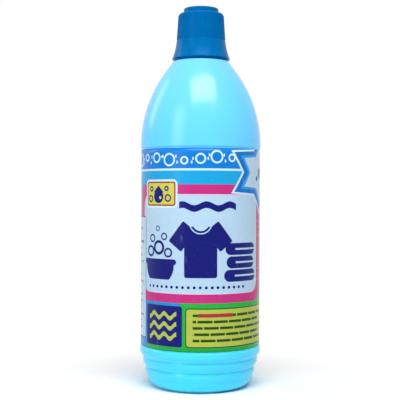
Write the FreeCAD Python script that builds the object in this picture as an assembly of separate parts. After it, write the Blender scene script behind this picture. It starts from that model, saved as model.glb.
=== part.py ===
"""A round blow-moulded bleach bottle with a wrap label, a pouring plug and a flared screw cap.

Millimetres, +Z up. The origin is the centre of the base, on the surface that the bottle stands on.
Heights are stacked from the base upwards, and each radius is worked inwards from the widest one.
"""

import FreeCAD
import Part

import math
import os

from FreeCAD import Vector

# Bottle base and foot
WALL = 0.95  # blown wall
BODY_RADIUS = 36.0  # widest, at the bands above and below the label
BASE_RISE = 4.2  # how far the middle of the base is pushed up
BASE_FLANK_RISE = 1.9  # steep part of the push-up, next to the standing ring
BASE_FLANK_RUN = 1.5
STAND_RING_WIDTH = 1.6  # flat ring that touches the table
BASE_CORNER = 6.9  # height of the rounding between the standing ring and the foot
BASE_CORNER_RUN = 7.8  # the same rounding, measured inwards
FOOT_BAND = 0.2  # short upright stretch above the rounding
LOW_STEP_RISE = 5.1  # the foot widens upwards in bowed steps
LOW_STEP_OUT = 0.7
LOW_STEP_BOW = 0.75  # how far a step stands out from its chord
HIGH_STEP_RISE = 6.0
HIGH_STEP_OUT = 1.75
HIGH_STEP_BOW = 0.95
LIP_RISE = 3.0  # the last step, up to the full width
LIP_OUT = 1.85
LIP_BOW = 0.3
LOWER_BAND = 2.6  # full-width band under the label panel
PINCH_LENGTH = 34.0  # ridge where the mould pinched the tube shut under the base
PINCH_WIDTH = 0.9
PINCH_HEIGHT = 0.5

# Label panel and label
PANEL_HEIGHT = 117.4
PANEL_DEPTH = 0.5
LABEL_MARGIN = 0.8  # bare panel above and below the label
LABEL_FILM = 0.12
LABEL_CLEARANCE = 0.02

# Shoulder
UPPER_BAND = 1.2  # full-width band over the label panel
SHOULDER_RISE = 45.9
SHOULDER_IN = 15.6
COLLAR_RISE = 4.45  # straighter stretch up to the ledge under the cap
COLLAR_IN = 3.2
LEDGE_ROUND = 0.35

# Neck and its thread
NECK_RADIUS = 11.0
NECK_WALL = 1.8
NECK_HEIGHT = 22.0
NECK_FILLET = 1.5
THREAD_LEAD = 4.0
THREAD_TURNS = 1.75
THREAD_DEPTH = 1.1
THREAD_ROOT_WIDTH = 1.9
THREAD_CREST_WIDTH = 0.9
THREAD_START = 10.5  # from the ledge to the middle of the thread's lower end
THREAD_CLEARANCE = 0.3  # between a thread's crest and the wall it faces
RIDGE_SINK = 0.3  # how far a ridge or a rib goes into the wall that carries it

# Pouring plug
PLUG_CLEARANCE = 0.03
PLUG_DEPTH = 8.5  # skirt inside the neck
PLUG_WALL = 0.95
PLUG_CONE_RISE = 4.5
FLANGE_THICKNESS = 1.2
SPOUT_BORE_RADIUS = 5.6
SPOUT_WALL = 1.1
SPOUT_FLARE = 1.2  # how much wider the spout is at its root
SPOUT_HEIGHT = 6.2
SPOUT_LIP = 0.4
SPOUT_LIP_HEIGHT = 0.8

# Sealing disc
SEAL_RADIUS = 8.9
SEAL_THICKNESS = 1.2
SEAL_CLEARANCE = 0.1  # over and under the disc
SEAL_SIDE_CLEARANCE = 0.3

# Cap
CAP_GAP = 0.3  # between the cap's inner ring and the ledge
CAP_WALL = 1.0
CAP_TOP_WALL = 1.3
CAP_EDGE = 0.5  # rounding of the top edge
CROWN_WALL = 1.25  # wall round the sealing disc
CROWN_HEIGHT = 2.65  # raised disc on the cap
CAP_SHOULDER_DROP = 0.5
CAP_CORNER = 0.8
DRUM_FLARE = 1.0  # how much wider the ribbed drum is at its foot
RIB_COUNT = 72
RIB_HEIGHT = 0.3
RIB_WIDTH = 0.55
RIB_END_GAP = 0.5  # plain wall above and below the ribs
SKIRT_HEIGHT = 10.9
SKIRT_LEAN = 5.5  # degrees that the skirt leans out at its head
SKIRT_STEP = 0.35  # step out from the drum to the skirt
SKIRT_OVERHANG = 0.15  # rim beyond the bottle's collar
SKIRT_LAND = 0.5  # upright edge of the rim
RING_DROP = 1.2  # how far the inner ring reaches below the skirt's rim
RING_INSET = 1.35  # how far the ring stands in from the rim
RETAINER = 0.25  # bead that holds the sealing disc
NOTCH_WIDTH = 0.6  # shallow upright slot in the skirt
NOTCH_DEPTH = 0.35
NOTCH_HEIGHT = 4.0
NOTCH_ANGLE = -115.0  # seen from above, with the front at -90 degrees

# Levels and radii that follow from the sizes above
FOOT_RADIUS = BODY_RADIUS - LIP_OUT - HIGH_STEP_OUT - LOW_STEP_OUT
PANEL_RADIUS = BODY_RADIUS - PANEL_DEPTH
FOOT_TOP = BASE_CORNER + FOOT_BAND
LOW_STEP_TOP = FOOT_TOP + LOW_STEP_RISE
HIGH_STEP_TOP = LOW_STEP_TOP + HIGH_STEP_RISE
LIP_TOP = HIGH_STEP_TOP + LIP_RISE
PANEL_BOTTOM = LIP_TOP + LOWER_BAND + PANEL_DEPTH
PANEL_TOP = PANEL_BOTTOM + PANEL_HEIGHT
SHOULDER_BOTTOM = PANEL_TOP + PANEL_DEPTH + UPPER_BAND
WAIST_RADIUS = BODY_RADIUS - SHOULDER_IN
WAIST_LEVEL = SHOULDER_BOTTOM + SHOULDER_RISE
COLLAR_RADIUS = WAIST_RADIUS - COLLAR_IN
COLLAR_LEVEL = WAIST_LEVEL + COLLAR_RISE
LEDGE = COLLAR_LEVEL + LEDGE_ROUND
NECK_BORE = NECK_RADIUS - NECK_WALL
NECK_TOP = LEDGE + NECK_HEIGHT
SPOUT_TOP = NECK_TOP + FLANGE_THICKNESS + SPOUT_HEIGHT
SEAL_BOTTOM = SPOUT_TOP + SEAL_CLEARANCE
CEILING = SEAL_BOTTOM + SEAL_THICKNESS + SEAL_CLEARANCE
CAP_TOP = CEILING + CAP_TOP_WALL
CAP_RIM = LEDGE + CAP_GAP
CAP_BORE = NECK_RADIUS + THREAD_DEPTH + THREAD_CLEARANCE
DRUM_TOP_RADIUS = CAP_BORE + CAP_WALL
DRUM_FOOT_RADIUS = DRUM_TOP_RADIUS + DRUM_FLARE
POCKET_RADIUS = SEAL_RADIUS + SEAL_SIDE_CLEARANCE
CROWN_RADIUS = POCKET_RADIUS + CROWN_WALL
CROWN_FOOT = CAP_TOP - CROWN_HEIGHT
DRUM_TOP = CROWN_FOOT - CAP_SHOULDER_DROP - CAP_CORNER
SKIRT_RIM = CAP_RIM + RING_DROP
SKIRT_TOP = SKIRT_RIM + SKIRT_HEIGHT
SKIRT_HEADING = (math.sin(math.radians(SKIRT_LEAN)), -math.cos(math.radians(SKIRT_LEAN)))


class Outline:
    """Half of a turned section, drawn edge by edge as (radius, height)."""

    def __init__(self, radius, height, heading=(1.0, 0.0)):
        self.here = (radius, height)
        self.heading = heading
        self.first = self.here
        self.edges = []

    def bow(self, radius, height, bulge):
        """Draw an arc that stands out by bulge on the right of its chord."""
        start, end = self.here, (radius, height)
        run, rise = end[0] - start[0], end[1] - start[1]
        length = math.hypot(run, rise)
        run, rise = run / length, rise / length
        middle = ((start[0] + end[0]) / 2 + bulge * rise, (start[1] + end[1]) / 2 - bulge * run)
        points = [Vector(r, 0, z) for r, z in (start, middle, end)]
        straight = abs(bulge) < 1e-6
        edge = Part.LineSegment(points[0], points[2]) if straight else Part.Arc(*points)
        self.edges.append(edge.toShape())
        turn = 2 * math.atan2(2 * bulge, length)
        cosine, sine = math.cos(turn), math.sin(turn)
        self.heading = (run * cosine - rise * sine, run * sine + rise * cosine)
        self.here = end
        return self

    def line(self, radius, height):
        """Draw a straight edge."""
        return self.bow(radius, height, 0.0)

    def smooth(self, radius, height):
        """Draw an arc that leaves in the direction of the last edge."""
        run, rise = radius - self.here[0], height - self.here[1]
        across = self.heading[0] * rise - self.heading[1] * run
        along = self.heading[0] * run + self.heading[1] * rise
        half_turn = math.atan2(across, along) / 2
        return self.bow(radius, height, math.hypot(run, rise) / 2 * math.tan(half_turn))

    def turned(self):
        """Close the outline and turn it round the Z axis."""
        self.line(*self.first)
        face = Part.Face(Part.Wire(self.edges))
        return face.revolve(Vector(0, 0, 0), Vector(0, 0, 1), 360)


def draw_base(inset):
    """Outline of the pushed-up base and the rounded foot, moved in by inset."""
    ring_outer = FOOT_RADIUS - BASE_CORNER_RUN
    ring_inner = ring_outer - STAND_RING_WIDTH + inset / 2
    outline = Outline(0, BASE_RISE + inset)
    outline.smooth(ring_inner - BASE_FLANK_RUN, BASE_FLANK_RISE + inset)
    outline.line(ring_inner, inset)
    outline.line(ring_outer, inset)
    outline.smooth(FOOT_RADIUS - inset, BASE_CORNER)
    outline.line(FOOT_RADIUS - inset, FOOT_TOP)
    return outline


def draw_sides(outline, inset):
    """Add the bowed steps of the foot, the label panel and the shoulder."""
    low_radius = FOOT_RADIUS + LOW_STEP_OUT
    high_radius = low_radius + HIGH_STEP_OUT
    outline.bow(low_radius - inset, LOW_STEP_TOP, LOW_STEP_BOW)
    outline.bow(high_radius - inset, HIGH_STEP_TOP, HIGH_STEP_BOW)
    outline.bow(BODY_RADIUS - inset, LIP_TOP, LIP_BOW)
    outline.line(BODY_RADIUS - inset, PANEL_BOTTOM - PANEL_DEPTH)
    outline.line(PANEL_RADIUS - inset, PANEL_BOTTOM)
    outline.line(PANEL_RADIUS - inset, PANEL_TOP)
    outline.line(BODY_RADIUS - inset, PANEL_TOP + PANEL_DEPTH)
    outline.line(BODY_RADIUS - inset, SHOULDER_BOTTOM)
    outline.smooth(WAIST_RADIUS - inset, WAIST_LEVEL)
    outline.smooth(COLLAR_RADIUS - inset, COLLAR_LEVEL - inset)
    outline.line(COLLAR_RADIUS - inset - LEDGE_ROUND, LEDGE - inset)


def draw_neck(outline, radius, inset, top):
    """Add the neck at the given radius, up to its open end."""
    level = LEDGE - inset
    outline.line(radius + NECK_FILLET, level)
    outline.smooth(radius, level + NECK_FILLET)
    outline.line(radius, top)
    outline.line(0, top)


def bottle_form(inset, neck_radius, neck_top):
    """The bottle as a full body: its outside, or with an inset the room inside it."""
    outline = draw_base(inset)
    draw_sides(outline, inset)
    draw_neck(outline, neck_radius, inset, neck_top)
    return outline.turned()


def helical_ridge(wall_radius, crest_radius, level):
    """A right-hand ridge, from its middle at level, sunk a little into its wall."""
    inwards = math.copysign(RIDGE_SINK, wall_radius - crest_radius)
    root = wall_radius + inwards
    half_root, half_crest = THREAD_ROOT_WIDTH / 2, THREAD_CREST_WIDTH / 2
    corners = [(root, -half_root), (crest_radius, -half_crest), (crest_radius, half_crest), (root, half_root)]
    corners.append(corners[0])
    section = Part.makePolygon([Vector(r, 0, z) for r, z in corners])
    path = Part.makeHelix(THREAD_LEAD, THREAD_LEAD * THREAD_TURNS, wall_radius)
    ridge = Part.Wire(path).makePipeShell([section], True, True)
    ridge.translate(Vector(0, 0, level))
    return ridge


def make_bottle():
    """Hollow bottle: foot, panel, shoulder and threaded neck in one blown wall."""
    outside = bottle_form(0, NECK_RADIUS, NECK_TOP)
    room = bottle_form(WALL, NECK_BORE, NECK_TOP + NECK_WALL)
    thread = helical_ridge(NECK_RADIUS, NECK_RADIUS + THREAD_DEPTH, LEDGE + THREAD_START)
    wall = outside.fuse([thread]).cut(room)
    return wall.fuse(pinch_ridge())


def pinch_ridge():
    """Low ridge across the pushed-up base, from its surface downwards."""
    ridge = Part.makeBox(PINCH_LENGTH, PINCH_WIDTH, BASE_RISE)
    ridge.translate(Vector(-PINCH_LENGTH / 2, -PINCH_WIDTH / 2, 0))
    upper = bottle_form(WALL / 2, NECK_BORE, NECK_TOP)
    lower = bottle_form(-PINCH_HEIGHT, NECK_BORE, NECK_TOP)
    return ridge.common(lower).cut(upper)


def make_label():
    """Thin film sleeve round the panel."""
    inner = PANEL_RADIUS + LABEL_CLEARANCE
    height = PANEL_HEIGHT - 2 * LABEL_MARGIN
    start = Vector(0, 0, PANEL_BOTTOM + LABEL_MARGIN)
    outside = Part.makeCylinder(inner + LABEL_FILM, height, start)
    return outside.cut(Part.makeCylinder(inner, height, start))


def make_plug():
    """Plug pressed into the neck, with a flange on its lip and a short spout."""
    skirt = NECK_BORE - PLUG_CLEARANCE
    bottom = NECK_TOP - PLUG_DEPTH
    flange_top = NECK_TOP + FLANGE_THICKNESS
    tip = SPOUT_BORE_RADIUS + SPOUT_WALL
    cone_foot = NECK_TOP - PLUG_CONE_RISE
    outline = Outline(skirt, bottom, (0.0, 1.0))
    outline.line(skirt, NECK_TOP)
    outline.line(NECK_RADIUS, NECK_TOP)
    outline.line(NECK_RADIUS, flange_top)
    outline.line(tip + SPOUT_FLARE, flange_top)
    outline.bow(tip, SPOUT_TOP - SPOUT_LIP_HEIGHT, -SPOUT_LIP)
    outline.line(tip + SPOUT_LIP, SPOUT_TOP)
    outline.line(SPOUT_BORE_RADIUS, SPOUT_TOP)
    outline.line(SPOUT_BORE_RADIUS, NECK_TOP)
    outline.line(skirt - PLUG_WALL, cone_foot)
    outline.line(skirt - PLUG_WALL, bottom)
    return outline.turned()


def make_seal():
    """Soft sealing disc in the cap's crown."""
    return Part.makeCylinder(SEAL_RADIUS, SEAL_THICKNESS, Vector(0, 0, SEAL_BOTTOM))


def cap_outside():
    """Outside of the cap: inner ring, flared skirt, tapered drum, rounded shoulder and raised crown."""
    rim = COLLAR_RADIUS + SKIRT_OVERHANG
    skirt_head = DRUM_FOOT_RADIUS + SKIRT_STEP
    outline = Outline(0, CAP_TOP, (1.0, 0.0))
    outline.line(CROWN_RADIUS - CAP_EDGE, CAP_TOP)
    outline.smooth(CROWN_RADIUS, CAP_TOP - CAP_EDGE)
    outline.line(CROWN_RADIUS, CROWN_FOOT)
    outline.line(DRUM_TOP_RADIUS - CAP_CORNER, CROWN_FOOT - CAP_SHOULDER_DROP)
    outline.smooth(DRUM_TOP_RADIUS, DRUM_TOP)
    outline.line(DRUM_FOOT_RADIUS, SKIRT_TOP + SKIRT_STEP)
    outline.line(skirt_head, SKIRT_TOP)
    outline.heading = SKIRT_HEADING
    outline.smooth(rim, SKIRT_RIM + SKIRT_LAND)
    outline.line(rim, SKIRT_RIM)
    outline.line(rim - RING_INSET, SKIRT_RIM)
    outline.line(rim - RING_INSET, CAP_RIM)
    outline.line(0, CAP_RIM)
    return outline.turned()


def cap_room():
    """Room inside the cap: ring, flared skirt, threaded bore and pocket for the sealing disc."""
    rim = COLLAR_RADIUS + SKIRT_OVERHANG - CAP_WALL
    ring = rim - RING_INSET
    shelf = SKIRT_RIM + CAP_WALL
    skirt_head = DRUM_FOOT_RADIUS + SKIRT_STEP - CAP_WALL
    slope = CAP_BORE - POCKET_RADIUS
    pocket_foot = SEAL_BOTTOM - SEAL_CLEARANCE
    bore_top = pocket_foot - 2 * RETAINER - slope / 2
    outline = Outline(0, CEILING, (1.0, 0.0))
    outline.line(POCKET_RADIUS, CEILING)
    outline.line(POCKET_RADIUS, pocket_foot)
    outline.line(SEAL_RADIUS - RETAINER, pocket_foot - RETAINER)
    outline.line(POCKET_RADIUS, pocket_foot - 2 * RETAINER)
    outline.line(CAP_BORE, bore_top)
    outline.line(CAP_BORE, SKIRT_TOP - CAP_WALL)
    outline.line(skirt_head, SKIRT_TOP - 2 * CAP_WALL)
    outline.heading = SKIRT_HEADING
    outline.smooth(rim, shelf)
    outline.line(ring, shelf)
    outline.line(ring, CAP_RIM - CAP_GAP / 2)
    outline.line(0, CAP_RIM - CAP_GAP / 2)
    return outline.turned()


def cap_ribs():
    """Grip ribs round the drum, each leaning with its taper."""
    foot, head = SKIRT_TOP + SKIRT_STEP + RIB_END_GAP, DRUM_TOP - RIB_END_GAP
    lean = DRUM_FLARE / (DRUM_TOP - SKIRT_TOP - SKIRT_STEP)
    sections = []
    for level in (foot, head):
        wall = DRUM_TOP_RADIUS + (DRUM_TOP - level) * lean
        root, crest = wall - RIDGE_SINK, wall + RIB_HEIGHT
        half = RIB_WIDTH / 2
        corners = [(root, -half), (crest, -half / 2), (crest, half / 2), (root, half), (root, -half)]
        sections.append(Part.makePolygon([Vector(x, y, level) for x, y in corners]))
    rib = Part.makeLoft(sections, True, True)
    ribs = []
    for number in range(RIB_COUNT):
        turned = rib.copy()
        turned.rotate(Vector(0, 0, 0), Vector(0, 0, 1), number * 360 / RIB_COUNT)
        ribs.append(turned)
    return ribs


def skirt_notch():
    """Cutter for the slot that runs up from the skirt's rim."""
    rim = COLLAR_RADIUS + SKIRT_OVERHANG
    cutter = Part.makeBox(BODY_RADIUS, NOTCH_WIDTH, NOTCH_HEIGHT + CAP_GAP)
    cutter.translate(Vector(0, -NOTCH_WIDTH / 2, SKIRT_RIM - CAP_GAP))
    skirt_head = DRUM_FOOT_RADIUS + SKIRT_STEP
    outline = Outline(0, SKIRT_TOP, (1.0, 0.0))
    outline.line(skirt_head - NOTCH_DEPTH, SKIRT_TOP)
    outline.heading = SKIRT_HEADING
    outline.smooth(rim - NOTCH_DEPTH, SKIRT_RIM + SKIRT_LAND)
    outline.line(rim - NOTCH_DEPTH, SKIRT_RIM - CAP_GAP)
    outline.line(0, SKIRT_RIM - CAP_GAP)
    slot = cutter.cut(outline.turned())
    slot.rotate(Vector(0, 0, 0), Vector(0, 0, 1), NOTCH_ANGLE)
    return slot


def make_cap():
    """Screw cap in one piece, with its ribs and the thread inside it."""
    shell = cap_outside().cut(cap_room())
    level = LEDGE + THREAD_START + THREAD_LEAD / 2
    thread = helical_ridge(CAP_BORE, CAP_BORE - THREAD_DEPTH, level)
    ribbed = shell.fuse(cap_ribs() + [thread])
    return ribbed.cut(skirt_notch())


def export(name, shape):
    """Check that a piece is one closed solid and write it."""
    solids = shape.Solids
    print(f"{name}: {len(solids)} solid, valid {shape.isValid()}, {shape.Volume / 1000:.2f} cm3")
    solids[0].exportStep(f"parts/{name}.step")


def main():
    """Build every piece."""
    os.makedirs("parts", exist_ok=True)
    export("bottle", make_bottle())
    export("label", make_label())
    export("pouring_plug", make_plug())
    export("cap_seal", make_seal())
    export("screw_cap", make_cap())
    brimful = bottle_form(WALL, NECK_BORE, NECK_TOP).Volume
    print(f"height {CAP_TOP:.2f} mm, brimful {brimful / 1000:.0f} ml")


main()
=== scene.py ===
"""Looks of a round bleach bottle: blown plastic, a printed wrap label, a screw cap and a plain studio."""

import logging
import math
from dataclasses import dataclass
from enum import Enum

import bpy
from mathutils import Euler, Matrix, Vector


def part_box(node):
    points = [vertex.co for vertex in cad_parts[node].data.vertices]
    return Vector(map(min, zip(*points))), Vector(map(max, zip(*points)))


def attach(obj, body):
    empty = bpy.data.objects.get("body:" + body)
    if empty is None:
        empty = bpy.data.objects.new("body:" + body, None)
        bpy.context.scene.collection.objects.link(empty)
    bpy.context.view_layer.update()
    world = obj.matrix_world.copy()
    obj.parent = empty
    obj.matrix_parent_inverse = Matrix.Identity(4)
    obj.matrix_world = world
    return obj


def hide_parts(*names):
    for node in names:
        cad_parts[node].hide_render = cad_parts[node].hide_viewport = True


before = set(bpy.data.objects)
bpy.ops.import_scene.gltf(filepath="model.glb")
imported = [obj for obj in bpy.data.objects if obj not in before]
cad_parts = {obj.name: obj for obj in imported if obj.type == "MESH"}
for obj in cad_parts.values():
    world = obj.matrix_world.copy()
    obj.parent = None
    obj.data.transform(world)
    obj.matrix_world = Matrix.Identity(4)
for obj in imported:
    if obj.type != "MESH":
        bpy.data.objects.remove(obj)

LOG = logging.getLogger("bleach_bottle")
MM = 0.001

Colour = tuple[float, float, float, float]


def linear(code: str) -> Colour:
    """Turn a screen colour into the linear one that shaders use.

    Args:
        code: six hexadecimal digits, such as "0A80DE".

    Returns:
        Red, green, blue and an alpha of one.
    """
    levels = [int(code[at:at + 2], 16) / 255 for at in (0, 2, 4)]
    red, green, blue = (
        level / 12.92 if level <= 0.04045 else ((level + 0.055) / 1.055) ** 2.4 for level in levels
    )
    return (red, green, blue, 1.0)


class Ink(Enum):
    """Inks of the printed film."""

    BAND_BLUE = "007CD6"
    SKY = "12A4DE"
    LINE = "D0ECF8"
    SIDE_BLUE = "1C8CD0"
    MAGENTA = "C62C7E"
    BLUSH = "E0C8E4"
    PANEL = "B6D4EA"
    NAVY = "000A72"
    GREEN = "20AE40"
    DEEP_GREEN = "144800"
    LIME = "B4C04C"
    YELLOW = "D2CC50"
    RED = "A83034"
    BURST = "006EC8"
    BURST_EDGE = "1C9CE0"
    BURST_HEART = "BCD6EA"

    @property
    def paint(self) -> Colour:
        """The ink's linear colour."""
        return linear(self.value)


@dataclass(frozen=True)
class Grain:
    """Soft noise: its lumps a metre, its octaves, a factor on its upward coordinate and its weight."""

    lumps: float
    octaves: float = 2.0
    upward: float = 1.0
    weight: float = 1.0


class Wire:
    """A socket of a shader tree that takes part in ordinary arithmetic."""

    def __init__(self, graph: "Graph", socket: bpy.types.NodeSocket) -> None:
        """Wrap an output socket of a graph's tree."""
        self.graph = graph
        self.socket = socket

    def __add__(self, other: "Wire | float") -> "Wire":
        """This plus other."""
        return self.graph.math("ADD", self, other)

    __radd__ = __add__

    def __sub__(self, other: "Wire | float") -> "Wire":
        """This less other."""
        return self.graph.math("SUBTRACT", self, other)

    def __rsub__(self, other: float) -> "Wire":
        """Other less this."""
        return self.graph.math("SUBTRACT", other, self)

    def __mul__(self, other: "Wire | float") -> "Wire":
        """This times other."""
        return self.graph.math("MULTIPLY", self, other)

    __rmul__ = __mul__

    def __truediv__(self, other: "Wire | float") -> "Wire":
        """This over other."""
        return self.graph.math("DIVIDE", self, other)

    def __rtruediv__(self, other: float) -> "Wire":
        """Other over this."""
        return self.graph.math("DIVIDE", other, self)

    def __neg__(self) -> "Wire":
        """This with its sign turned."""
        return self * -1.0

    def __abs__(self) -> "Wire":
        """This without its sign."""
        return self.graph.math("ABSOLUTE", self)

    def least(self, other: "Wire | float") -> "Wire":
        """The smaller of this and other."""
        return self.graph.math("MINIMUM", self, other)

    def most(self, other: "Wire | float") -> "Wire":
        """The larger of this and other."""
        return self.graph.math("MAXIMUM", self, other)

    def clamped(self) -> "Wire":
        """This held between nought and one."""
        return self.least(1.0).most(0.0)

    def root(self) -> "Wire":
        """Square root."""
        return self.graph.math("SQRT", self)

    def sine(self) -> "Wire":
        """Sine of an angle in radians."""
        return self.graph.math("SINE", self)

    def whole(self) -> "Wire":
        """The whole number below this."""
        return self.graph.math("FLOOR", self)

    def wrapped(self, pitch: float) -> "Wire":
        """Place within a repeat of the given pitch, from minus to plus half of it."""
        return self.graph.math("WRAP", self, pitch / 2, -pitch / 2)


class Graph:
    """The node tree of a material or of the world."""

    def __init__(self, owner: bpy.types.Material | bpy.types.World) -> None:
        """Empty the owner's tree.

        Args:
            owner: what the tree belongs to.
        """
        owner.use_nodes = True
        self.owner = owner
        self.tree = owner.node_tree
        self.tree.nodes.clear()

    @classmethod
    def of(cls, name: str) -> "Graph":
        """The empty tree of a new material."""
        return cls(bpy.data.materials.new(name))

    def node(self, kind: str, settings: dict | None = None, sockets: dict | None = None) -> bpy.types.Node:
        """Add any node.

        Args:
            kind: the node's type without its leading Shader or ShaderNode.
            settings: attributes to set first, such as an operation.
            sockets: input name or number to a value or a Wire.

        Returns:
            The new node.
        """
        made = self.tree.nodes.new("ShaderNode" + kind)
        for name, value in (settings or {}).items():
            setattr(made, name, value)
        for name, value in (sockets or {}).items():
            if isinstance(value, Wire):
                self.tree.links.new(value.socket, made.inputs[name])
            else:
                made.inputs[name].default_value = value
        return made

    def out(self, made: bpy.types.Node, name: str | int = 0) -> Wire:
        """Wrap one output of a node."""
        return Wire(self, made.outputs[name])

    def math(self, operation: str, *terms: Wire | float) -> Wire:
        """Add a Math node and wrap its result."""
        return self.out(self.node("Math", {"operation": operation}, dict(enumerate(terms))))

    def mix(self, share: Wire | float, below: Wire | Colour, above: Wire | Colour) -> Wire:
        """Lay one colour over another, by the share of the upper one that shows."""
        made = self.node("Mix", {"data_type": "RGBA"}, {0: share, 6: below, 7: above})
        return self.out(made, 2)

    def tone(self, colour: Wire, factor: Wire) -> Wire:
        """Darken or lighten a colour by a factor."""
        return self.out(self.node("VectorMath", {"operation": "SCALE"}, {0: colour, "Scale": factor}))

    def place(self) -> tuple[Wire, Wire, Wire]:
        """Find the place of the point that is shaded.

        Returns:
            Its distances across, deep and up, in millimetres.
        """
        spot = self.out(self.node("TexCoord"), "Object")
        parts = self.node("SeparateXYZ", sockets={0: spot})
        across, deep, up = (self.out(parts, axis) / MM for axis in range(3))
        return across, deep, up

    def noise(self, grain: Grain) -> Wire:
        """Soft noise between nought and one.

        Args:
            grain: the noise's size and stretch.

        Returns:
            The noise value.
        """
        spot = self.out(self.node("TexCoord"), "Object")
        scaled = self.node("VectorMath", {"operation": "MULTIPLY"}, {0: spot, 1: (1.0, 1.0, grain.upward)})
        sockets = {"Vector": self.out(scaled), "Scale": grain.lumps, "Detail": grain.octaves}
        return self.out(self.node("TexNoise", sockets=sockets))

    def weighed(self, grain: Grain) -> Wire:
        """Soft noise between nought and the grain's weight."""
        return self.noise(grain) * grain.weight

    def swing(self, grain: Grain) -> Wire:
        """Soft noise about nought, with half of the grain's weight to each side."""
        return (self.noise(grain) - 0.5) * grain.weight

    def bump(self, height: Wire, strength: float, distance: float) -> Wire:
        """Turn a height into a normal, by a strength and the metres that a height of one stands for."""
        sockets = {"Height": height, "Strength": strength, "Distance": distance}
        return self.out(self.node("Bump", sockets=sockets))

    def finish(self, sockets: dict) -> bpy.types.Material:
        """Feed a Principled shader and close the tree.

        Args:
            sockets: the shader's inputs.

        Returns:
            The material.
        """
        shader = self.node("BsdfPrincipled", sockets=sockets)
        self.node("OutputMaterial", sockets={"Surface": self.out(shader)})
        return self.owner

    def seen(self) -> Wire:
        """Tell where the camera looks, be it straight, by gloss or through clear stuff.

        Returns:
            One there, and nought for every other light path.
        """
        path = self.node("LightPath")
        rays = [self.out(path, f"Is {name} Ray") for name in ("Camera", "Glossy", "Transmission")]
        return rays[0].most(rays[1]).most(rays[2])


class Sheet:
    """Flat coordinates in millimetres for shapes that are given as signed distances."""

    def __init__(self, across: Wire, up: Wire) -> None:
        """Keep the distances to the right and upwards."""
        self.across = across
        self.up = up

    def moved(self, across: float, up: float, turn: float = 0.0) -> "Sheet":
        """See the same sheet from another origin.

        Args:
            across: how far the origin goes to the right.
            up: how far the origin goes upwards.
            turn: degrees by which the shapes turn anticlockwise.

        Returns:
            The moved sheet.
        """
        right, rise = self.across - across, self.up - up
        if not turn:
            return Sheet(right, rise)
        cosine, sine = math.cos(math.radians(turn)), math.sin(math.radians(turn))
        return Sheet(right * cosine + rise * sine, rise * cosine - right * sine)

    def scaled(self, size: float) -> "Sheet":
        """The same sheet with its shapes drawn larger by size."""
        return Sheet(self.across / size, self.up / size)

    def repeated(self, pitch: float) -> "Sheet":
        """The same sheet with its shapes repeated across at a pitch."""
        return Sheet(self.across.wrapped(pitch), self.up)

    def box(self, width: float, height: float, corner: float = 0.0) -> Wire:
        """Signed distance to a box about the origin.

        Args:
            width: full width.
            height: full height.
            corner: radius of its corners.

        Returns:
            The distance, negative inside.
        """
        right = abs(self.across) - (width / 2 - corner)
        rise = abs(self.up) - (height / 2 - corner)
        inside = right.most(rise)
        if not corner:
            return inside
        right, rise = right.most(0.0), rise.most(0.0)
        return (right * right + rise * rise).root() + inside.least(0.0) - corner

    def disc(self, radius: float | Wire) -> Wire:
        """Signed distance to a disc about the origin."""
        return (self.across * self.across + self.up * self.up).root() - radius

    def star(self, points: int, tip: float, notch: float) -> Wire:
        """Signed distance to a pointed star about the origin.

        Args:
            points: how many tips it has.
            tip: radius of its tips.
            notch: radius of the corners between them.

        Returns:
            The distance, negative inside.
        """
        graph = self.across.graph
        angle = graph.math("ARCTAN2", self.up, self.across)
        folded = abs(angle.wrapped(math.tau / points))
        reach = self.disc(0.0)
        along = reach * graph.math("COSINE", folded)
        aside = reach * folded.sine()
        half = math.pi / points
        run, rise = notch * math.cos(half) - tip, notch * math.sin(half)
        length = math.hypot(run, rise)
        return (along - tip) * (rise / length) + aside * (-run / length)


class Artwork:
    """Layers of ink on the film, from the lowest up."""

    EDGE = 0.16  # millimetres over which an ink's edge fades

    def __init__(self, graph: Graph, sheet: Sheet, ground: Ink) -> None:
        """Start with the ground colour.

        Args:
            graph: the material's tree.
            sheet: coordinates along the film.
            ground: the lowest ink.
        """
        self.graph = graph
        self.sheet = sheet
        self.colour: Wire | Colour = ground.paint

    def cover(self, distance: Wire, grow: float = 0.0) -> Wire:
        """Share of ink from a signed distance, with the shape grown by grow."""
        return (0.5 + grow / self.EDGE - distance / self.EDGE).clamped()

    def lay(self, distance: Wire, ink: Ink, grow: float = 0.0) -> None:
        """Print a shape over what is there."""
        self.colour = self.graph.mix(self.cover(distance, grow), self.colour, ink.paint)


@dataclass(frozen=True)
class Field:
    """A rounded rectangle of ink."""

    left: float
    right: float
    low: float
    high: float
    corner: float = 0.0

    def distance(self, sheet: Sheet) -> Wire:
        """Signed distance to the rectangle."""
        middle = sheet.moved((self.left + self.right) / 2, (self.low + self.high) / 2)
        return middle.box(self.right - self.left, self.high - self.low, self.corner)


@dataclass(frozen=True)
class RuledLines:
    """Rows of short plain bars, which stand where small print would, with a ragged right edge.

    The margin and its raggedness are shares of the field's width, and a bar's length is in pitches.
    """

    field: Field
    pitch: float
    thickness: float
    ink: Ink
    margin: float = 0.12
    raggedness: float = 0.1
    bar_length: float = 2.6
    space: float = 0.7
    ragged_pace: float = 2.4
    row_shift: float = 3.7

    def print_on(self, art: Artwork) -> None:
        """Print the bars.

        Args:
            art: the artwork to add to.
        """
        sheet = art.sheet
        row = ((sheet.up - self.field.low) / self.pitch).whole()
        rise = (sheet.up - self.field.low - self.pitch / 2).wrapped(self.pitch)
        width = self.field.right - self.field.left
        short = (row * self.ragged_pace).sine() * (width * self.raggedness) + width * self.margin
        right = sheet.across - self.field.left - (width - short)
        left = self.field.left - sheet.across
        bar = right.most(left).most(abs(rise) - self.thickness / 2)
        shifted = sheet.across + row * self.row_shift
        gap = abs(shifted.wrapped(self.pitch * self.bar_length)) - self.space / 2
        art.lay(bar.most(-gap).most(self.field.distance(sheet)), self.ink)


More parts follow.
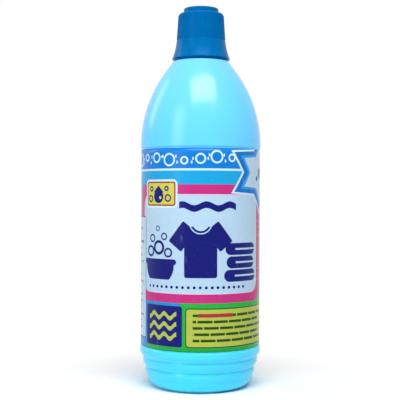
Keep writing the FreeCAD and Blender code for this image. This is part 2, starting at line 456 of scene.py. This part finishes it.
@dataclass(frozen=True)
class Spot:
    """A round mark: its middle and its radius."""

    across: float
    up: float
    radius: float

    def distance(self, sheet: Sheet) -> Wire:
        """Signed distance to the mark."""
        return sheet.moved(self.across, self.up).disc(self.radius)


@dataclass(frozen=True)
class Burst:
    """A starburst that lies across the bands."""

    across: float = 48.0
    up: float = 127.4
    points: int = 6
    turn: float = 30.0
    tip: float = 22.8
    notch: float = 14.4
    stretch: float = 1.4
    outline: float = 1.0
    edge: float = 2.2
    heart: float = 3.6
    spots: tuple[Spot, ...] = (Spot(0.0, 0.0, 3.4), Spot(6.2, 3.0, 1.8), Spot(-5.6, -3.4, 1.5))

    def print_on(self, art: Artwork) -> None:
        """Print the burst.

        Args:
            art: the artwork to add to.
        """
        local = art.sheet.moved(self.across, self.up)
        flat = Sheet(local.across / self.stretch, local.up).moved(0.0, 0.0, self.turn)
        shape = flat.star(self.points, self.tip, self.notch)
        art.lay(shape, Ink.LINE, self.outline)
        art.lay(shape, Ink.BURST)
        art.lay(shape, Ink.BURST_EDGE, -self.edge)
        art.lay(shape, Ink.BURST_HEART, -self.heart)
        for spot in self.spots:
            art.lay(spot.distance(local), Ink.NAVY)


@dataclass(frozen=True)
class Badge:
    """A small outlined square with a plain drop among bubbles."""

    field: Field = Field(-37.0, -14.6, 107.8, 121.8, 1.6)
    outline: float = 1.2
    border: float = 0.9
    drop: Spot = Spot(-26.6, 113.2, 3.8)
    drop_tip: float = 2.6
    drop_tip_side: float = 5.4
    drop_tip_turn: float = 45.0
    glint: Spot = Spot(1.5, -0.6, 0.9)
    bubbles: tuple[Spot, ...] = (
        Spot(-33.4, 112.0, 1.7), Spot(-32.6, 117.6, 1.2), Spot(-19.6, 112.4, 1.8), Spot(-20.6, 117.8, 1.1),
    )
    bubble_line: float = 0.9

    def print_on(self, art: Artwork) -> None:
        """Print the badge.

        Args:
            art: the artwork to add to.
        """
        shape = self.field.distance(art.sheet)
        art.lay(shape, Ink.LINE, self.outline)
        art.lay(shape, Ink.RED)
        art.lay(shape, Ink.YELLOW, -self.border)
        drop = art.sheet.moved(self.drop.across, self.drop.up)
        tip = drop.moved(0.0, self.drop_tip, self.drop_tip_turn).box(self.drop_tip_side, self.drop_tip_side)
        art.lay(drop.disc(self.drop.radius).least(tip), Ink.NAVY)
        art.lay(self.glint.distance(drop), Ink.YELLOW)
        for bubble in self.bubbles:
            art.lay(abs(bubble.distance(art.sheet)) - self.bubble_line / 2, Ink.NAVY)


@dataclass(frozen=True)
class Washing:
    """Plain washing signs: a shirt between a tub and a pile of towels."""

    shirt_place: tuple[float, float] = (0.2, 84.6)
    shirt_size: float = 1.12
    shirt_body: Field = Field(-8.5, 8.5, -15.6, 10.4, 1.2)
    sleeve: Field = Field(-6.5, 6.5, -4.4, 4.4, 0.8)
    sleeve_place: tuple[float, float] = (9.6, 5.4)
    sleeve_turn: float = -52.0
    neck_hole: Spot = Spot(0.0, 12.4, 4.2)
    collar_inset: float = 1.4
    collar_line: float = 0.6
    tub_place: tuple[float, float] = (-26.6, 74.6)
    tub_round: Spot = Spot(0.0, -1.0, 11.0)
    tub_top: float = 0.5
    tub_foot: float = -8.8
    tub_rim: Field = Field(-12.5, 12.5, -0.5, 2.9, 1.7)
    foam: tuple[Spot, ...] = (
        Spot(-6.6, 7.2, 3.3), Spot(0.4, 9.4, 4.2), Spot(7.2, 6.6, 2.8),
        Spot(4.4, 15.8, 2.2), Spot(-5.0, 14.6, 2.4), Spot(-0.4, 20.4, 1.6),
    )
    foam_hollow: float = 0.62
    pile_place: tuple[float, float] = (26.4, 77.2)
    towel_levels: tuple[float, ...] = (-9.0, -1.4, 6.2)
    towel_widths: tuple[float, ...] = (25.0, 22.0, 23.5)
    towel_thickness: float = 6.8
    towel_slit: float = 1.0
    slit_share: float = 0.72

    def print_on(self, art: Artwork) -> None:
        """Print the three signs.

        Args:
            art: the artwork to add to.
        """
        self.shirt(art, art.sheet.moved(*self.shirt_place).scaled(self.shirt_size))
        self.tub(art, art.sheet.moved(*self.tub_place))
        self.towels(art, art.sheet.moved(*self.pile_place))

    def shirt(self, art: Artwork, sheet: Sheet) -> None:
        """Print a plain shirt with short sleeves.

        Args:
            art: the artwork to add to.
            sheet: coordinates about the shirt's middle.
        """
        body = self.shirt_body.distance(sheet)
        mirrored = Sheet(abs(sheet.across), sheet.up)
        sleeve = self.sleeve.distance(mirrored.moved(*self.sleeve_place, self.sleeve_turn))
        neck = self.neck_hole.distance(sheet)
        art.lay(body.least(sleeve).most(-neck), Ink.NAVY)
        art.lay(abs(neck - self.collar_inset), Ink.PANEL, self.collar_line / 2)

    def tub(self, art: Artwork, sheet: Sheet) -> None:
        """Print a round-bottomed tub with foam over it.

        Args:
            art: the artwork to add to.
            sheet: coordinates about the tub's rim.
        """
        bowl = self.tub_round.distance(sheet).most(sheet.up - self.tub_top).most(self.tub_foot - sheet.up)
        art.lay(bowl.least(self.tub_rim.distance(sheet)), Ink.NAVY)
        for bubble in self.foam:
            hollow = Spot(bubble.across, bubble.up, bubble.radius * self.foam_hollow)
            art.lay(bubble.distance(sheet), Ink.NAVY)
            art.lay(hollow.distance(sheet), Ink.PANEL)

    def towels(self, art: Artwork, sheet: Sheet) -> None:
        """Print three folded towels on each other.

        Args:
            art: the artwork to add to.
            sheet: coordinates about the pile's middle.
        """
        for level, width in zip(self.towel_levels, self.towel_widths):
            towel = sheet.moved(0.0, level)
            art.lay(towel.box(width, self.towel_thickness, self.towel_thickness / 2), Ink.NAVY)
            slit = towel.moved(width * (1.0 - self.slit_share) / 2, 0.0)
            art.lay(slit.box(width * self.slit_share, self.towel_slit), Ink.PANEL)


@dataclass(frozen=True)
class Wave:
    """A wavy bar. It crosses its middle line on the way up at start, and pace is in radians a millimetre."""

    left: float
    right: float
    up: float
    thickness: float
    swing: float
    pace: float
    start: float = 0.0

    def distance(self, sheet: Sheet) -> Wire:
        """Signed distance to the bar, measured upwards along its length.

        Args:
            sheet: coordinates along the film.

        Returns:
            The distance, negative inside.
        """
        swell = ((sheet.across - self.start) * self.pace).sine() * self.swing
        line = abs(sheet.up - self.up - swell) - self.thickness / 2
        return line.most(abs(sheet.across - (self.left + self.right) / 2) - (self.right - self.left) / 2)


@dataclass(frozen=True)
class BubbleRow:
    """A row of bubbles whose sizes and levels wander, with a small one between each two.

    A swing is how far something wanders, and its pace is the angle that each next bubble adds.
    """

    level: float = 134.8
    pitch: float = 9.4
    radius: float = 2.6
    radius_swing: float = 0.8
    radius_pace: float = 2.1
    level_swing: float = 1.1
    level_pace: float = 1.3
    line: float = 1.0
    small_radius: float = 0.9
    small_swing: float = 2.2
    small_pace: float = 1.9

    def print_on(self, art: Artwork) -> None:
        """Print the row.

        Args:
            art: the artwork to add to.
        """
        row = art.sheet.moved(0.0, self.level)
        cell = (row.across / self.pitch + 0.5).whole()
        radius = (cell * self.radius_pace).sine() * self.radius_swing + self.radius
        level = row.up - (cell * self.level_pace).sine() * self.level_swing
        large = Sheet(row.across, level).repeated(self.pitch)
        art.lay(abs(large.disc(radius)) - self.line / 2, Ink.LINE)
        small_level = row.up - (cell * self.small_pace).sine() * self.small_swing
        small = Sheet(row.across + self.pitch / 2, small_level).repeated(self.pitch)
        art.lay(small.disc(self.small_radius), Ink.LINE)


@dataclass(frozen=True)
class LabelPrint:
    """The whole print of the film: bands, panels, a burst and plain washing signs."""

    radius: float
    frame_outer: Field = Field(-47.5, 47.4, 52.8, 120.2, 8.5)
    frame_inner: Field = Field(-41.0, 41.0, 58.4, 114.1, 6.5)
    navy_block: Field = Field(-37.4, -10.4, 27.7, 51.0, 1.4)
    lime_panel: Field = Field(-7.9, 62.0, 28.2, 49.4, 1.6)
    side_panel: Field = Field(-76.0, -39.4, 31.0, 101.0, 1.0)
    green_field: Field = Field(-12.0, 140.0, 0.0, 56.0)
    green_side: Field = Field(44.0, 140.0, 0.0, 113.0)
    green_strip: Field = Field(-37.0, 0.0, 0.0, 40.0)
    back_panel: Field = Field(70.0, 106.0, 33.0, 106.0, 2.0)
    red_bar: Field = Field(-1.2, 19.4, 44.9, 47.0)
    lime_lines: RuledLines = RuledLines(Field(-4.2, 56.0, 29.9, 47.7), 3.56, 1.5, Ink.DEEP_GREEN)
    back_lines: RuledLines = RuledLines(Field(73.0, 103.0, 36.0, 103.0), 4.2, 1.1, Ink.NAVY)
    side_lines: tuple[RuledLines, ...] = (
        RuledLines(Field(-73.0, -42.6, 34.0, 65.2), 3.9, 1.4, Ink.MAGENTA),
        RuledLines(Field(-73.0, -42.6, 65.2, 76.9), 3.9, 1.4, Ink.GREEN),
        RuledLines(Field(-73.0, -42.6, 76.9, 98.0), 3.9, 1.4, Ink.NAVY),
    )
    block_waves: tuple[Wave, ...] = tuple(
        Wave(-33.9, -13.9, level, 2.5, 1.3, 0.8, start=-23.9) for level in (33.6, 39.4, 45.2)
    )
    ribbon: Wave = Wave(-12.4, 21.6, 107.6, 3.8, 1.1, 0.45)
    dot_row: Field = Field(-34.4, 28.4, 60.0, 63.4)
    dot_pitch: float = 3.4
    dot_radius: float = 0.85
    hairline: float = 0.5
    lime_outline: float = 0.6
    sky_foot: float = 120.2
    line_level: float = 128.6
    line_width: float = 1.2

    def paint(self, graph: Graph) -> Wire:
        """Build the print.

        Args:
            graph: the film's material tree.

        Returns:
            The colour at each point of the film.
        """
        across, deep, up = graph.place()
        arc = graph.math("ARCTAN2", across, -deep) * self.radius
        art = Artwork(graph, Sheet(arc, up), Ink.SIDE_BLUE)
        self.fields(art)
        self.front_panel(art)
        self.bands(art)
        Badge().print_on(art)
        Burst().print_on(art)
        return art.colour

    def fields(self, art: Artwork) -> None:
        """Print the green and blue grounds, the lower panels and the back panel.

        Args:
            art: the artwork to add to.
        """
        for field in (self.green_field, self.green_side, self.green_strip):
            art.lay(field.distance(art.sheet), Ink.GREEN)
        art.lay(self.navy_block.distance(art.sheet), Ink.NAVY)
        lime = self.lime_panel.distance(art.sheet)
        art.lay(lime, Ink.DEEP_GREEN, self.lime_outline)
        art.lay(lime, Ink.LIME)
        self.lime_lines.print_on(art)
        art.lay(self.red_bar.distance(art.sheet), Ink.RED)
        art.lay(self.back_panel.distance(art.sheet), Ink.PANEL)
        self.back_lines.print_on(art)
        for wave in self.block_waves:
            art.lay(wave.distance(art.sheet), Ink.LIME)

    def front_panel(self, art: Artwork) -> None:
        """Print the framed panel on the front, with its signs, and the panel beside it.

        Args:
            art: the artwork to add to.
        """
        art.lay(self.frame_outer.distance(art.sheet), Ink.MAGENTA)
        inner = self.frame_inner.distance(art.sheet)
        art.lay(inner, Ink.BLUSH, self.hairline)
        art.lay(inner, Ink.PANEL)
        Washing().print_on(art)
        art.lay(self.ribbon.distance(art.sheet), Ink.NAVY)
        middle = (self.dot_row.low + self.dot_row.high) / 2
        dots = art.sheet.moved(0.0, middle).repeated(self.dot_pitch).disc(self.dot_radius)
        art.lay(dots.most(self.dot_row.distance(art.sheet)), Ink.NAVY)
        side = self.side_panel.distance(art.sheet)
        art.lay(side, Ink.NAVY, self.hairline)
        art.lay(side, Ink.PANEL)
        for lines in self.side_lines:
            lines.print_on(art)

    def bands(self, art: Artwork) -> None:
        """Print the bands round the top, with a row of bubbles.

        Args:
            art: the artwork to add to.
        """
        up = art.sheet.up
        art.lay(self.sky_foot - up, Ink.SKY)
        art.lay(self.line_level - up, Ink.BAND_BLUE)
        art.lay(abs(up - self.line_level) - self.line_width / 2, Ink.LINE)
        BubbleRow().print_on(art)


@dataclass(frozen=True)
class BlownPlastic:
    """Satin polyethylene of the blown bottle with its mould's seam, whose colour pales upwards as a painted
    highlight for the light from above.
    """

    # painted light: the foot colour is darker and the top colour paler, standing in for light from above
    # rather than a change in the plastic
    foot: str = "38D9FF"
    top_colour_with_painted_light: str = "70C0FF"
    painted_top_light: float = 0.9
    roughness: float = 0.21
    seam_half_width: float = 0.22
    seam_height: float = 0.8
    seam_roughness: float = 0.05
    relief_strength: float = 0.5
    relief_depth: float = 0.12 * MM
    cloud: Grain = Grain(38.0, 3.0, weight=0.25)
    pores: Grain = Grain(900.0, weight=0.05)
    flow: Grain = Grain(120.0, upward=0.15, weight=0.12)
    rub: Grain = Grain(60.0, 4.0, weight=0.14)

    def make(self, height: float) -> bpy.types.Material:
        """Make the material.

        Args:
            height: the bottle's height in millimetres.

        Returns:
            The material.
        """
        graph = Graph.of("blown_plastic")
        _, deep, up = graph.place()
        # painted light: the base colour pales with height, a painted highlight for the light that the upper,
        # upward-facing part catches
        rise = (up / height).clamped()
        share = (rise * self.painted_top_light + graph.swing(self.cloud)).clamped()
        seam = (1.0 - abs(deep) / self.seam_half_width).clamped()
        relief = seam * self.seam_height + graph.weighed(self.pores) + graph.weighed(self.flow)
        return graph.finish({
            "Base Color": graph.mix(share, linear(self.foot), linear(self.top_colour_with_painted_light)),
            "Roughness": self.roughness + graph.swing(self.rub) + seam * self.seam_roughness,
            "Normal": graph.bump(relief, self.relief_strength, self.relief_depth),
            "Subsurface Weight": 0.1,
            "Subsurface Radius": (0.4, 0.9, 1.0),
            "Subsurface Scale": 0.004,
            "Specular IOR Level": 0.42,
            "Sheen Weight": 0.12,
            "Sheen Tint": (0.1, 0.3, 1.0, 1.0),
            "Sheen Roughness": 0.3,
        })


@dataclass(frozen=True)
class MouldedPlastic:
    """Glossy polypropylene of the cap, a little dulled on the ribs that hands touch."""

    body: str = "0063A1"
    worn: str = "006DAB"
    roughness: float = 0.24
    wear_threshold: float = 0.35
    wear_gain: float = 1.2
    wear_colour: float = 0.5
    wear_roughness: float = 0.16
    cloud_colour: float = 0.12
    cloud_roughness: float = 0.08
    relief_strength: float = 0.35
    relief_depth: float = 0.05 * MM
    scuff: Grain = Grain(240.0, 4.0, upward=0.3, weight=0.3)
    cloud: Grain = Grain(70.0)
    pores: Grain = Grain(1500.0, weight=0.3)

    def make(self, drum_foot: float, drum_top: float) -> bpy.types.Material:
        """Make the material.

        Args:
            drum_foot: lowest level of the ribbed drum, in millimetres.
            drum_top: highest level of the ribbed drum, in millimetres.

        Returns:
            The material.
        """
        graph = Graph.of("moulded_plastic")
        _, _, up = graph.place()
        middle, half = (drum_foot + drum_top) / 2, (drum_top - drum_foot) / 2
        gripped = (1.0 - abs(up - middle) / half).clamped()
        scuff = graph.noise(self.scuff)
        cloud = graph.noise(self.cloud)
        wear = (gripped * (scuff - self.wear_threshold) * self.wear_gain).clamped()
        share = wear * self.wear_colour + cloud * self.cloud_colour
        relief = graph.weighed(self.pores) + scuff * self.scuff.weight
        return graph.finish({
            "Base Color": graph.mix(share, linear(self.body), linear(self.worn)),
            "Roughness": self.roughness + wear * self.wear_roughness + (cloud - 0.5) * self.cloud_roughness,
            "Normal": graph.bump(relief, self.relief_strength, self.relief_depth),
            "IOR": 1.24,
            "Specular IOR Level": 0.2,
            "Specular Tint": (0.3, 0.65, 1.0, 1.0),
        })


@dataclass(frozen=True)
class PrintedFilm:
    """Glossy printed film, a little mottled, scuffed and rippled."""

    roughness: float = 0.26
    tone: float = 0.83
    mottle_roughness: float = 0.1
    scuffed: str = "DCE8F0"
    scuff_threshold: float = 0.66
    relief_strength: float = 0.35
    relief_depth: float = 0.4 * MM
    mottle: Grain = Grain(300.0, 3.0, weight=0.05)
    cloud: Grain = Grain(40.0, weight=0.07)
    scuff: Grain = Grain(140.0, 5.0, upward=0.25, weight=1.4)
    ripple: Grain = Grain(45.0, upward=0.35, weight=0.9)
    pores: Grain = Grain(1200.0, 1.0, weight=0.04)

    def make(self, artwork: LabelPrint) -> bpy.types.Material:
        """Make the material.

        Args:
            artwork: the print.

        Returns:
            The material.
        """
        graph = Graph.of("printed_film")
        mottle = graph.noise(self.mottle)
        shade = self.tone + mottle * self.mottle.weight + graph.weighed(self.cloud)
        scuff = (graph.noise(self.scuff) - self.scuff_threshold) * self.scuff.weight
        relief = graph.weighed(self.ripple) + graph.weighed(self.pores)
        return graph.finish({
            "Base Color": graph.mix(scuff, graph.tone(artwork.paint(graph), shade), linear(self.scuffed)),
            "Roughness": self.roughness + (mottle - 0.5) * self.mottle_roughness,
            "Normal": graph.bump(relief, self.relief_strength, self.relief_depth),
            "Specular IOR Level": 0.2,
        })


@dataclass(frozen=True)
class SoftPlastic:
    """Plain satin plastic or foam with a fine grain."""

    name: str
    light: str
    shade: str
    roughness: float
    pores: Grain
    cloud: Grain = Grain(180.0, 3.0)
    cloud_colour: float = 0.6
    pore_colour: float = 0.3
    cloud_roughness: float = 0.12
    relief_strength: float = 0.4
    relief_depth: float = 0.1 * MM

    def make(self) -> bpy.types.Material:
        """Make the material.

        Returns:
            The material.
        """
        graph = Graph.of(self.name)
        cloud = graph.noise(self.cloud)
        pores = graph.noise(self.pores)
        share = cloud * self.cloud_colour + pores * self.pore_colour
        return graph.finish({
            "Base Color": graph.mix(share, linear(self.shade), linear(self.light)),
            "Roughness": self.roughness + (cloud - 0.5) * self.cloud_roughness,
            "Normal": graph.bump(pores, self.relief_strength, self.relief_depth),
        })


def dress(node: bpy.types.Object, material: bpy.types.Material) -> None:
    """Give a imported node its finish.

    Args:
        node: the node's object.
        material: the finish.
    """
    for holder in node.material_slots:
        holder.link = "OBJECT"
        holder.material = material
    LOG.info("dressed %s with %s", node.name, material.name)


@dataclass
class Bottle:
    """The blown bottle."""

    node: str = "bottle"
    plastic: BlownPlastic = BlownPlastic()

    def build(self) -> None:
        """Dress the bottle."""
        _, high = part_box(self.node)
        dress(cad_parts[self.node], self.plastic.make(high.z / MM))


@dataclass
class Label:
    """The film sleeve, with the overlap where its ends are joined at the back."""

    node: str = "label"
    columns: int = 288
    rows: int = 40
    thickness: float = 0.12 * MM
    overlap: float = 4.0 * MM
    overlap_lift: float = 0.09 * MM
    map_width: float = 0.998
    map_outside: tuple[float, float] = (0.07, 0.925)
    map_inside: tuple[float, float] = (0.01, 0.03)
    map_edges: tuple[float, float] = (0.05, 0.01)
    film: PrintedFilm = PrintedFilm()

    def build(self) -> None:
        """Build the sleeve and dress it."""
        low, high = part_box(self.node)
        outer = high.x
        mesh = self.sleeve(outer, low.z, high.z)
        piece = bpy.data.objects.new("label_film", mesh)
        bpy.context.scene.collection.objects.link(piece)
        mesh.materials.append(self.film.make(LabelPrint(outer / MM)))
        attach(piece, "bottle")
        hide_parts(self.node)
        LOG.info("built %s with %d faces", piece.name, len(mesh.polygons))

    def sleeve(self, outer: float, low: float, high: float) -> bpy.types.Mesh:
        """Make the sleeve's mesh with a map for its print.

        Args:
            outer: outside radius.
            low: lower edge.
            high: upper edge.

        Returns:
            The mesh.
        """
        levels = [low + (high - low) * row / self.rows for row in range(self.rows + 1)]
        points: list[tuple[float, float, float]] = []
        for wall in (0.0, self.thickness):
            for level in levels:
                for column in range(self.columns):
                    turn = math.tau * (column + 0.5) / self.columns
                    behind = abs(turn - math.pi) * outer
                    lift = self.overlap_lift if behind < self.overlap / 2 and not wall else 0.0
                    radius = outer - wall + lift
                    points.append((radius * math.sin(turn), -radius * math.cos(turn), level))
        mesh = bpy.data.meshes.new("label_film")
        mesh.from_pydata(points, [], self.faces())
        mesh.shade_smooth()
        self.unroll(mesh)
        return mesh

    def faces(self) -> list[tuple[int, int, int, int]]:
        """List the faces of the outside, the inside and the two cut edges.

        Returns:
            The numbers of each face's four points.
        """
        count, layer = self.columns, self.columns * (self.rows + 1)
        found = []
        for column in range(count):
            beside = (column + 1) % count
            for row in range(self.rows):
                a, b = row * count + column, row * count + beside
                found.append((a, b, b + count, a + count))
                found.append((layer + b, layer + a, layer + a + count, layer + b + count))
            top = self.rows * count
            found.append((layer + column, layer + beside, beside, column))
            found.append((top + column, top + beside, layer + top + beside, layer + top + column))
        return found

    def unroll(self, mesh: bpy.types.Mesh) -> None:
        """Map the outside over most of the square, and the inside and the cut edges into strips under it.

        Each strip is given by its foot and its height on the map.

        Args:
            mesh: the sleeve.
        """
        mapped = mesh.uv_layers.new(name="OFBake")
        layer = self.columns * (self.rows + 1)
        low, high = mesh.vertices[0].co.z, mesh.vertices[layer - 1].co.z
        for face in mesh.polygons:
            middle = math.atan2(face.center.x, -face.center.y) / math.tau
            inner = [corner >= layer for corner in face.vertices]
            for loop in face.loop_indices:
                spot = mesh.vertices[mesh.loops[loop].vertex_index].co
                turn = math.atan2(spot.x, -spot.y) / math.tau
                turn += round(middle - turn)
                share = (spot.z - low) / (high - low)
                if all(inner):
                    foot, height = self.map_inside
                elif any(inner):
                    foot, height = self.map_edges
                    share = inner.index(True) / len(inner)
                else:
                    foot, height = self.map_outside
                mapped.data[loop].uv = (0.5 + turn * self.map_width, foot + height * share)


@dataclass
class Closure:
    """The screw cap with its sealing disc, and the plug under them. The drum's levels are in millimetres."""

    cap: MouldedPlastic = MouldedPlastic()
    plug: SoftPlastic = SoftPlastic("plug_plastic", "F2F6F6", "DCE4E6", 0.42, Grain(1400.0))
    seal: SoftPlastic = SoftPlastic("seal_foam", "F6F4EE", "D8D6CE", 0.8, Grain(2600.0))
    drum_foot: float = 206.9
    drum_top: float = 222.2

    def build(self) -> None:
        """Dress the three pieces."""
        dress(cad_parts["screw_cap"], self.cap.make(self.drum_foot, self.drum_top))
        dress(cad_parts["pouring_plug"], self.plug.make())
        dress(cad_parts["cap_seal"], self.seal.make())


@dataclass(frozen=True)
class SoftBox:
    """A soft rectangular lamp that looks at a point, in metres and watts."""

    name: str
    place: tuple[float, float, float]
    size: tuple[float, float]
    power: float
    aim: tuple[float, float, float] = (0.0, 0.0, 0.14)

    def build(self) -> None:
        """Make the lamp."""
        lamp = bpy.data.lights.new(self.name, "AREA")
        lamp.shape = "RECTANGLE"
        lamp.size, lamp.size_y = self.size
        lamp.energy = self.power
        holder = bpy.data.objects.new(self.name, lamp)
        holder.location = self.place
        holder.rotation_euler = (Vector(self.aim) - Vector(self.place)).to_track_quat("-Z", "Y").to_euler()
        bpy.context.scene.collection.objects.link(holder)


@dataclass
class Studio:
    """A white studio: floor, world, lamps and the photograph's camera."""

    floor_radius: float = 4.0
    floor_corners: int = 96
    clear_radius: float = 0.03
    fade_width: float = 0.09
    paper: str = "FAFBFC"
    white: Colour = (1.0, 1.0, 1.0, 1.0)
    air: Colour = (0.88, 0.95, 1.0, 1.0)
    air_strength: float = 0.3
    camera_height: float = 0.113
    camera_distance: float = 0.548
    camera_left: float = 0.0003
    roll: float = 0.2
    pixels_per_radian: float = 908.4
    picture: int = 400
    sensor_width: float = 36.0
    horizon_above_middle: float = 3.0
    lamps: tuple[SoftBox, ...] = (
        SoftBox("key_over_front", (0.06, -0.46, 0.86), (0.66, 0.4), 8.2, aim=(0.0, 0.0, 0.18)),
        SoftBox("front_left", (-0.8, -0.82, 0.5), (0.4, 0.8), 3.2),
        SoftBox("left_strip", (-0.85, 0.4, 0.62), (0.3, 0.5), 1.2),
        SoftBox("right_fill", (0.95, -0.35, 0.4), (0.4, 0.9), 0.12),
    )

    def build(self) -> None:
        """Make the floor, the world, the lamps and the camera."""
        self.floor()
        self.world()
        for lamp in self.lamps:
            lamp.build()
        self.camera()
        bpy.context.scene.view_settings.view_transform = "Standard"
        LOG.info("set up the studio")

    def floor(self) -> None:
        """A round pale floor that fades to pure white away from the bottle, for the camera alone."""
        turns = [math.tau * corner / self.floor_corners for corner in range(self.floor_corners)]
        ring = [Vector((math.cos(turn), math.sin(turn), 0.0)) * self.floor_radius for turn in turns]
        mesh = bpy.data.meshes.new("floor")
        mesh.from_pydata(ring, [], [tuple(range(self.floor_corners))])
        graph = Graph.of("floor_paper")
        across, deep, _ = graph.place()
        reach = Sheet(across * MM, deep * MM).disc(self.clear_radius)
        fade = (reach / self.fade_width).clamped() * graph.seen()
        paper = graph.node("BsdfDiffuse", sockets={"Color": linear(self.paper)})
        glow = graph.node("Emission", sockets={"Color": self.white, "Strength": 1.0})
        mixed = graph.node("MixShader", sockets={0: fade, 1: graph.out(paper), 2: graph.out(glow)})
        graph.node("OutputMaterial", sockets={"Surface": graph.out(mixed)})
        mesh.materials.append(graph.owner)
        piece = bpy.data.objects.new("floor", mesh)
        bpy.context.scene.collection.objects.link(piece)

    def world(self) -> None:
        """White behind the bottle and in its gloss, and a softer light from all round."""
        graph = Graph(bpy.data.worlds.new("white_studio"))
        soft = graph.node("Background", sockets={"Color": self.air, "Strength": self.air_strength})
        white = graph.node("Background", sockets={"Color": self.white, "Strength": 1.0})
        mixed = graph.node("MixShader", sockets={0: graph.seen(), 1: graph.out(soft), 2: graph.out(white)})
        graph.node("OutputWorld", sockets={"Surface": graph.out(mixed)})
        bpy.context.scene.world = graph.owner

    def camera(self) -> None:
        """The photograph's camera: level, near, and a little off to one side."""
        lens = bpy.data.cameras.new("camera")
        lens.sensor_width = self.sensor_width
        lens.lens = self.sensor_width * self.pixels_per_radian / self.picture
        holder = bpy.data.objects.new("camera", lens)
        pitch = math.atan2(self.horizon_above_middle, self.pixels_per_radian)
        holder.location = (-self.camera_left, -self.camera_distance, self.camera_height)
        upright = Euler((math.pi / 2 - pitch, 0.0, 0.0)).to_matrix()
        rolled = upright @ Matrix.Rotation(math.radians(self.roll), 3, "Z")
        holder.rotation_euler = rolled.to_euler()
        bpy.context.scene.collection.objects.link(holder)
        bpy.context.scene.camera = holder


def main() -> None:
    """Build every piece in order."""
    logging.basicConfig(level=logging.INFO, format="%(name)s: %(message)s")
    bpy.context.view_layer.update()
    Bottle().build()
    Label().build()
    Closure().build()
    Studio().build()


if __name__ == "__main__":
    main()
